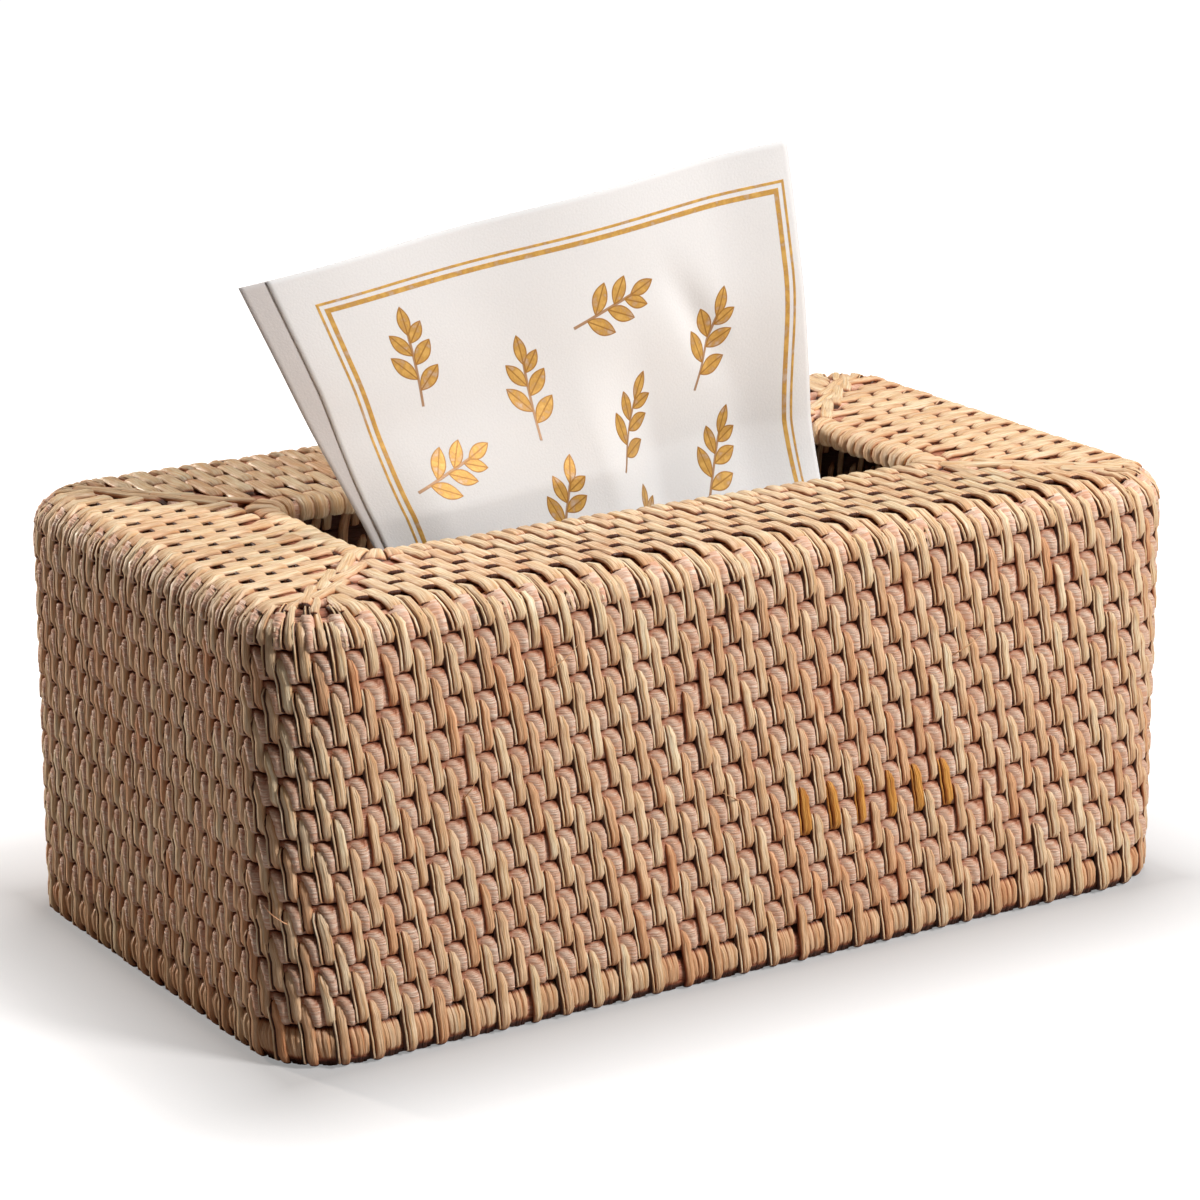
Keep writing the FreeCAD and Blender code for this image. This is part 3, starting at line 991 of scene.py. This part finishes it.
def side_wraps(side, bm, layers):
    """Wraps on one straight run of the roll, in step with the stitches of the top."""
    half_step = side_step(side) / 2
    run = (RIM_HALF_Y if side % 2 else RIM_HALF_X) - RIM_CORNER
    start = 2 * row_start(LAST_ROW + 1)
    head = ROLL_START + WRAP_REACH
    for n in range(math.ceil(-run / half_step - start), math.floor(run / half_step - start) + 1):
        a = (n + start) * half_step + rng.gauss(0, WRAP_STRAY)
        foot = borders[LAST_ROW] - SHORT_TUCK if n % 2 else borders[LAST_ROW - 1]
        lift = rng.uniform(*WRAP_LIFT)

        def place(across, along, up):
            t = head - along * (head - foot)
            drift = WRAP_DRIFT * max(ROLL_START - t, 0)
            return straight(side, a + drift + across * (1 - 0.3 * ease((along - 0.86) / 0.14)), t, up + lift)

        tone = WRAP_TONE * tone_at(a + SIDE_APART * side, WRAP_PATCH)
        lay_strip(bm, layers, place, WRAP_FILL * half_step, head - foot, tone,
                  strip=wrap_strip, dip=wrap_dip, dark=FLAT_DARK)


def corner_wraps(side, bm, layers):
    """Wraps that fan out round a corner of the slot."""
    run_x, run_y = 2 * (RIM_HALF_X - RIM_CORNER), 2 * (RIM_HALF_Y - RIM_CORNER)
    bend = RIM_CORNER * math.pi / 2
    corner_start = run_x / 2 + side * bend + sum((run_y, run_x, run_y)[:side])
    for degrees in CORNER_WRAPS:
        s = corner_start + RIM_CORNER * math.radians(degrees)
        length = WRAP_REACH + ROLL + SHORT_TUCK + corner_room(s)[0]

        def place(across, along, up):
            return rim_point(s + across, WRAP_REACH - along * length, up)

        lay_strip(bm, layers, place, CORNER_WRAP_WIDTH, WRAP_REACH + ROLL, CORNER_WRAP_TONE * rng.random(),
                  strip=wrap_strip, dip=wrap_dip, dark=FLAT_DARK)


bm, layers = start_binding()
for side in range(4):
    side_wraps(side, bm, layers)
    corner_wraps(side, bm, layers)
print("opening wrapped:", len(bm.faces), "faces")
finish_binding(bm, "opening_rim_wraps")

# %% Wraps of the base
BASE_WIDTH = 1.9
BASE_TUCK, BASE_LEAN = 0.3, 1.4
BASE_STRAY, BASE_CROWN = 0.1, 0.12
BASE_LIFT, BASE_WIDTHS, BASE_TONES = (-0.5, -0.3), (0.9, 1.1), (0.3, 0.5)
BASE_GROUP = (-1.6, 0.0, 1.6)
GROUP_MIDDLE = 0.5


def base_dip(v):
    return -2.0 * (1 - ease(v / 0.25)) - 2.0 * ease((v - 0.6) / 0.4)


bm, layers = start_binding()
for n in range(STITCHES):
    tone = BASE_TONES[0] + BASE_TONES[1] * rng.random()
    for beside in BASE_GROUP:
        s = stitch_place(n + row_start(1) + GROUP_MIDDLE) + rng.gauss(0, BASE_STRAY)
        lift = rng.uniform(*BASE_LIFT) - BASE_CROWN * abs(beside)

        def place(across, along, up):
            t = BASE_TOP + BASE_TUCK - along * BASE_TOP
            return wall(s + BASE_LEAN * (along - 0.5) + beside * (1.1 - 0.35 * along) + across, t, up + lift)

        lay_strip(bm, layers, place, BASE_WIDTH * rng.uniform(*BASE_WIDTHS), BASE_TOP, tone, dip=base_dip)
finish_binding(bm, "base_rim_wraps")
print("wraps on the base:", len(BASE_GROUP) * STITCHES)

# %% [markdown]
# ## Stray fibres
# Handwork leaves a few split fibres standing off the binding. Each is a long thin cone, bent
# by the wall map so that it springs from the surface and arches back towards it.

# %% Stray fibres
FIBRE_CUTS = 5
FIBRE_ROOT, FIBRE_TIP = 0.22, 0.05
FIBRE_TONE = 0.8
FIBRE_SINK, FIBRE_ARCH, FIBRE_TURN = 0.3, 2.0, 2.2
# Place round the cover, height, direction in degrees and length; lengths are in millimetres.
FIBRES = [(55, 72, 32, 11), (-61, 87, 38, 9), (-8, 46, 150, 7), (24, 26, 20, 8), (-84, 60, 62, 6),
          (92, 40, 120, 8), (180, 70, 40, 9), (300, 55, 150, 8), (480, 80, 30, 9), (650, 35, 140, 7)]

bm = bmesh.new()
bmesh.ops.create_cone(bm, cap_ends=True, segments=5, radius1=FIBRE_ROOT, radius2=FIBRE_TIP, depth=1.0)
bmesh.ops.subdivide_edges(bm, edges=long_edges(bm, 2), cuts=FIBRE_CUTS)
fibre = to_mesh(bm, "fibre")
bm, layers = start_binding()
for s, t, degrees, length in FIBRES:
    heading = Vector((math.cos(math.radians(degrees)), math.sin(math.radians(degrees))))
    for vert in paste(bm, fibre):
        share = vert.co.z + 0.5
        ahead = heading * share * length
        vert[layers[0]] = (vert.co.x, share * length, s)
        vert[layers[1]] = FIBRE_TONE
        vert.co = wall(s + ahead.x - heading.y * vert.co.x, t + ahead.y + heading.x * vert.co.x,
                       vert.co.y - FIBRE_SINK + FIBRE_ARCH * math.sin(FIBRE_TURN * share))
finish_binding(bm, "stray_fibres")

# %% [markdown]
# ## The refill
# Under the cover stands a stack of folded tissues. A stack is not a block: its leaves are
# soft and their edges don't line up. One thin leaf with rounded edges is bevelled from a
# cube, and copies of it are piled up, each a little astray. The side of the back ply that
# faces the front is a flat pinkish grey, partly the print showing through thin paper and
# partly painted shade on the margin that peeks out, so it has a look of its own.

# %% Paper
PAPER_ROUGHNESS, PAPER_SHEEN = 0.95, 0.15
CREPE_HEIGHT, CREPE_STRENGTH = 0.12, 0.5
PAPER_WHITES = (0.8, 0.8, 0.805, 1), (0.87, 0.875, 0.885, 1)
# Greys for the back ply's front side: the print showing through, and painted shade.
PRINT_AND_SHADE_GREYS = (0.6, 0.57, 0.56, 1), (0.68, 0.65, 0.64, 1)


def start_paper(name):
    """A paper material, the place on the flat sheet and the crepe's fine noise there."""
    look, tree, shader = new_material(name, PAPER_ROUGHNESS)
    shader.inputs["Sheen Weight"].default_value = PAPER_SHEEN
    flat_place = stored(tree, "paper", "Vector")
    return look, tree, shader, flat_place, noise_node(tree, flat_place, 1.6, 3.0)


def paper_material(name, whites):
    """Soft crepe paper between two near whites."""
    look, tree, shader, flat_place, crepe = start_paper(name)
    join(tree, mix_colour(tree, crepe, *whites), shader.inputs["Base Color"])
    bump(tree, shader, crepe, CREPE_HEIGHT, CREPE_STRENGTH)
    return look


paper_look = paper_material("tissue_paper", PAPER_WHITES)
print_back_and_shade = paper_material("tissue_print_back_and_shade", PRINT_AND_SHADE_GREYS)

# %% The folded leaves
LEAVES = 40
LEAF_CORNER = 5.0
LEAF_ROOM, LEAF_FILL, LEAF_ROUND = 3, 0.9, 0.4
LEAF_ASTRAY, LEAF_WAVE = 0.5, 0.6
stack_low, stack_high = box_mm("tissue_stack")
leaf_height = (stack_high.z - stack_low.z) / LEAVES

bm = bmesh.new()
bmesh.ops.create_cube(bm, size=1.0)
bmesh.ops.scale(bm, verts=bm.verts, vec=(
    stack_high.x - stack_low.x - LEAF_ROOM, stack_high.y - stack_low.y - LEAF_ROOM, LEAF_FILL * leaf_height))
bevel = partial(bmesh.ops.bevel, bm, profile=0.5, affect="EDGES", material=-1)
bevel(geom=long_edges(bm, 2), offset=LEAF_CORNER, segments=3)
bevel(geom=[e for e in bm.edges if e.calc_face_angle(0) > 1.2], offset=LEAF_ROUND * leaf_height, segments=2)
print("one leaf:", len(bm.faces), "faces")
leaf = to_mesh(bm, "leaf")

bm = bmesh.new()
paper = bm.verts.layers.float_vector.new("paper")
for n in range(LEAVES):
    height = stack_low.z + (n + 0.5) * leaf_height
    shift = Vector((rng.gauss(0, LEAF_ASTRAY), rng.gauss(0, LEAF_ASTRAY), height))
    for vert in paste(bm, leaf):
        vert[paper] = (vert.co.x, vert.co.y + vert.co.z, n * 3.0)
        wave = noise.noise(Vector((vert.co.x * 0.02, vert.co.y * 0.03, n * 0.13)))
        vert.co += shift + Vector((LEAF_WAVE * wave, LEAF_WAVE * wave, 0))
finish_mesh(bm, "folded_tissues", "refill", paper_look, "folded_tissue", "tissue_stack")

# %% [markdown]
# ## The pulled tissue
# The tissue that stands in the slot is two plies of thin paper. It is flat at the top, where
# it was cut, and gathered by the slot. On the left its lower part leans on the front of the
# slot, and a soft crease crosses it where it turns upright. On the right it falls back. A
# flat grid is bent to that shape by one formula, and both plies use it, so they never cross.

# %% The tissue's folds
ply_low, ply_high = box_mm("pulled_tissue_back_ply")
TOP_LEFT = Vector((ply_low.x, 0, 167.0))
TOP_RIGHT = Vector((55.4, 0, ply_high.z))
FOOT_LEFT = Vector((-48.4, 0, ply_low.z))
FOOT_RIGHT = Vector((ply_high.x, 0, ply_low.z))
TISSUE_WIDTH = (TOP_RIGHT - TOP_LEFT).length
TISSUE_DROP = ((TOP_LEFT - FOOT_LEFT).length + (TOP_RIGHT - FOOT_RIGHT).length) / 2
CREASE_AT = 0.34
SLOT_AT = 0.58
LEFT_PUSH, RIGHT_PUSH = -7.0, 5.0
FOOT_FOLD, TOP_WAVE = 4.0, 1.2


def soft_ramp(x, softness):
    """Nothing below zero, x above it, with a rounded turn between."""
    return 0.5 * (x + math.sqrt(x * x + softness * softness))


def fold_depth(u, r):
    """How far back the tissue is, u across it and r down it, both from 0 to 1."""
    push = LEFT_PUSH + (RIGHT_PUSH - LEFT_PUSH) * ease((u - 0.5) / 0.17) + 4.0 * (1 - ease(u / 0.16))
    crease = CREASE_AT + 0.05 * math.sin(5.0 * u + 0.6)
    bend = min(soft_ramp((r - crease) / (SLOT_AT - crease), 0.16), 1.0)
    bend -= 0.8 * ease((r - SLOT_AT) / (1 - SLOT_AT))
    waves = FOOT_FOLD * ease((r - SLOT_AT) / 0.3) - TOP_WAVE * (1 - r)
    dent = 2.4 * math.exp(-((u - 0.78 - 0.3 * (r - 0.3)) / 0.035) ** 2 - ((r - 0.32) / 0.1) ** 2)
    curl = -5.0 * ease((u - 0.84) / 0.16) * (0.3 + r)
    ripple = 0.5 * ease(r / 0.3) * noise.noise(Vector((7 * u, 5 * r, 1.7)))
    return push * bend + waves * math.sin(4 * math.pi * u) + dent + curl + ripple + 3.0 * (1 - r)


def tissue_point(u, r):
    point = TOP_LEFT.lerp(FOOT_LEFT, r).lerp(TOP_RIGHT.lerp(FOOT_RIGHT, r), u)
    point.y = fold_depth(u, r)
    return point


print(f"tissue {TISSUE_WIDTH:.0f} mm wide, {TISSUE_DROP:.0f} mm from edge to foot")

# %% [markdown]
# ## The print
# The paper carries a gold print. A plain sprig of leaves is repeated all over it in a
# half-drop, turned differently from place to place, inside a double line along the edge. A
# leaf is one node group, a lens between two arcs with a rib, and it is placed six times.

# %% The leaf group
gold_leaf, given, result = new_group(
    "gold_leaf", (("Point", "Vector"), ("Place", "Vector"), ("Turn", "Float"), ("Length", "Float"),
                  ("Width", "Float")), ("Fill", "Line"))
times, minus, most, size = sums(gold_leaf)
away = add_node(gold_leaf, "VectorMath", operation="SUBTRACT")
turned = add_node(gold_leaf, "VectorRotate", rotation_type="Z_AXIS", invert=True)
split = add_node(gold_leaf, "SeparateXYZ")
for source, target in ((given["Point"], away.inputs[0]), (given["Place"], away.inputs[1]),
                       (away.outputs[0], turned.inputs["Vector"]), (given["Turn"], turned.inputs["Angle"]),
                       (turned.outputs[0], split.inputs[0])):
    join(gold_leaf, source, target)
share = math_node(gold_leaf, "DIVIDE", split.outputs["X"], given["Length"])
lens = times(share, minus(1.0, share))
lens = times(times(lens, 2.0), given["Width"])
off_rib = size(split.outputs["Y"])
inside = minus(lens, off_rib)
fill = spread(gold_leaf, inside, 0.0, 0.15, 0.0, 1.0)
outline = spread(gold_leaf, inside, 0.3, 0.5, 1.0, 0.0)
rib = spread(gold_leaf, off_rib, 0.12, 0.26, 1.0, 0.0)
join(gold_leaf, fill, result["Fill"])
join(gold_leaf, times(fill, most(outline, rib)), result["Line"])

# %% The printed paper
CELL_COLUMNS, CELL_HEIGHT = 4, 31.0
FRAME_LINES = ((9.5, 0.3), (11.6, 0.6))
FIELD_EDGE, FIELD_SLACK = 14.0, 6
LINE_SOFT, STEM_SOFT = 0.15, 0.4
CELL_WIDTH = (TISSUE_WIDTH - FIELD_SLACK - 2 * FIELD_EDGE) / CELL_COLUMNS
# Each leaf of the sprig: its place on the stem, its turn in degrees, its length and width.
SPRIG = [(-9.5, 44, 9.5, 4.6), (-6.5, -44, 9.5, 4.6), (-2.5, 40, 9.0, 4.4), (0.0, -40, 8.5, 4.2),
         (3.5, 36, 7.5, 3.8), (5.5, -4, 8.5, 3.8)]
STEM = (-14.0, 6.5, 0.32)

print_look, tree, shader, flat_place, crepe = start_paper("printed_tissue")
times, minus, most, size = sums(tree)
split = add_node(tree, "SeparateXYZ")
join(tree, flat_place, split.inputs[0])
across, down = split.outputs["X"], split.outputs["Y"]
field_x = math_node(tree, "DIVIDE", minus(across, FIELD_EDGE), CELL_WIDTH)
field_y = math_node(tree, "DIVIDE", minus(down, FIELD_EDGE), CELL_HEIGHT)
column = math_node(tree, "FLOOR", field_x)
odd = math_node(tree, "FLOORED_MODULO", column, 2.0)
dropped = minus(field_y, times(odd, 0.5))
line = math_node(tree, "FLOOR", dropped)
cell = add_node(tree, "CombineXYZ")
join(tree, column, cell.inputs["X"])
join(tree, line, cell.inputs["Y"])
chance = add_node(tree, "TexWhiteNoise", noise_dimensions="2D")
join(tree, cell.outputs[0], chance.inputs["Vector"])
local = add_node(tree, "CombineXYZ")
cell_x = minus(field_x, column)
cell_y = minus(dropped, line)
for part, unit, target in ((cell_x, CELL_WIDTH, "X"), (cell_y, CELL_HEIGHT, "Y")):
    join(tree, times(minus(part, 0.5), unit), local.inputs[target])
sprig_turn = add_node(tree, "VectorRotate", rotation_type="Z_AXIS")
join(tree, local.outputs[0], sprig_turn.inputs["Vector"])
join(tree, spread(tree, chance.outputs["Value"], 0, 1, 0.2, 1.5), sprig_turn.inputs["Angle"])

# %% Sprigs, frame lines and gold
fills, lines = [], []
for along, degrees, length, width in SPRIG:
    made = add_node(tree, "Group", node_tree=gold_leaf)
    values = sprig_turn.outputs[0], (along, 0, 0), math.radians(degrees), length, width
    for name, value in zip(("Point", "Place", "Turn", "Length", "Width"), values):
        join(tree, value, made.inputs[name])
    fills.append(made.outputs["Fill"])
    lines.append(made.outputs["Line"])
sprig_split = add_node(tree, "SeparateXYZ")
join(tree, sprig_turn.outputs[0], sprig_split.inputs[0])
stem_low, stem_high, stem_half = STEM
along_stem = sprig_split.outputs["X"]
on_stem = times(spread(tree, along_stem, stem_low, stem_low + STEM_SOFT, 0, 1),
                spread(tree, along_stem, stem_high, stem_high + STEM_SOFT, 1, 0))
off_stem = size(sprig_split.outputs["Y"])
lines.append(times(on_stem, spread(tree, off_stem, stem_half, stem_half + LINE_SOFT, 1, 0)))
gold_fill = reduce(most, fills)
gold_line = reduce(most, lines)
nearest_side = math_node(tree, "MINIMUM", across, minus(TISSUE_WIDTH, across))
edge = math_node(tree, "MINIMUM", down, nearest_side)
# Only whole cells hold a sprig.
field = math_node(tree, "LESS_THAN", column, CELL_COLUMNS - 0.5)
for number in (column, line):
    field = times(field, math_node(tree, "GREATER_THAN", number, -0.5))
gold_fill = times(gold_fill, field)
gold_line = times(gold_line, field)
for at, half in FRAME_LINES:
    off = size(minus(edge, at))
    gold_fill = most(gold_fill, spread(tree, off, half, half + LINE_SOFT, 1, 0))

worn = noise_node(tree, flat_place, 0.35, 4.0)
white = mix_colour(tree, crepe, *PAPER_WHITES)
gold = mix_colour(tree, spread(tree, worn, 0.3, 0.7, 0, 1), srgb(190, 136, 46), srgb(226, 180, 96))
covering = times(gold_fill, spread(tree, worn, 0.25, 0.5, 0.6, 1.0))
colour = mix_colour(tree, covering, white, gold)
colour = mix_colour(tree, times(gold_line, 0.85), colour, srgb(166, 112, 40))
join(tree, colour, shader.inputs["Base Color"])
gilt = most(gold_fill, gold_line)
join(tree, spread(tree, gilt, 0, 1, PAPER_ROUGHNESS, 0.5), shader.inputs["Roughness"])
join(tree, times(gilt, 0.25), shader.inputs["Metallic"])
bump(tree, shader, math_node(tree, "ADD", crepe, gilt), CREPE_HEIGHT, CREPE_STRENGTH)

# %% The two plies
PLY_COLUMNS, PLY_ROWS = 110, 90
PLY_THICKNESS = 0.25
PLY_GAP = 0.4
MARGIN_TOP, MARGIN_SLOT = 6.8, 3.0


def tissue_ply(name, node, back):
    """One ply; the front one is drawn in at the left, so that the back one shows beside it."""
    bm = bmesh.new()
    paper = bm.verts.layers.float_vector.new("paper")
    bmesh.ops.create_grid(bm, x_segments=PLY_COLUMNS, y_segments=PLY_ROWS, size=0.5)
    for vert in bm.verts:
        u, r = vert.co.x + 0.5, 0.5 - vert.co.y
        margin = (MARGIN_TOP + (MARGIN_SLOT - MARGIN_TOP) * ease((r - 0.25) / 0.35)) / TISSUE_WIDTH
        if back:
            vert.co = tissue_point(u, r) + Vector((0, PLY_GAP, 0))
        else:
            u = margin + (1 - margin) * u
            vert.co = tissue_point(u, r) - Vector((0, 0.25 * (1 - ease((u - margin) / 0.08)) * (1 - r), 0))
        vert[paper] = ((1 - u if back else u - margin) * TISSUE_WIDTH, r * TISSUE_DROP, 0)
    bmesh.ops.recalc_face_normals(bm, faces=bm.faces)
    bm.faces.ensure_lookup_table()
    towards = 1 if back else -1
    if bm.faces[len(bm.faces) // 2].normal.y * towards < 0:
        bmesh.ops.reverse_faces(bm, faces=bm.faces)
    obj = make_object(bm, name, print_look, print_back_and_shade if back else paper_look)
    thick = obj.modifiers.new("thickness", "SOLIDIFY")
    thick.thickness = PLY_THICKNESS * MM
    thick.offset = -1.0
    thick.material_offset = 1
    thick.material_offset_rim = 1
    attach(obj, "pulled_tissue")
    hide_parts(node)


tissue_ply("tissue_front_ply", "pulled_tissue_front_ply", back=False)
tissue_ply("tissue_back_ply", "pulled_tissue_back_ply", back=True)
print("plies:", PLY_COLUMNS * PLY_ROWS, "faces each")
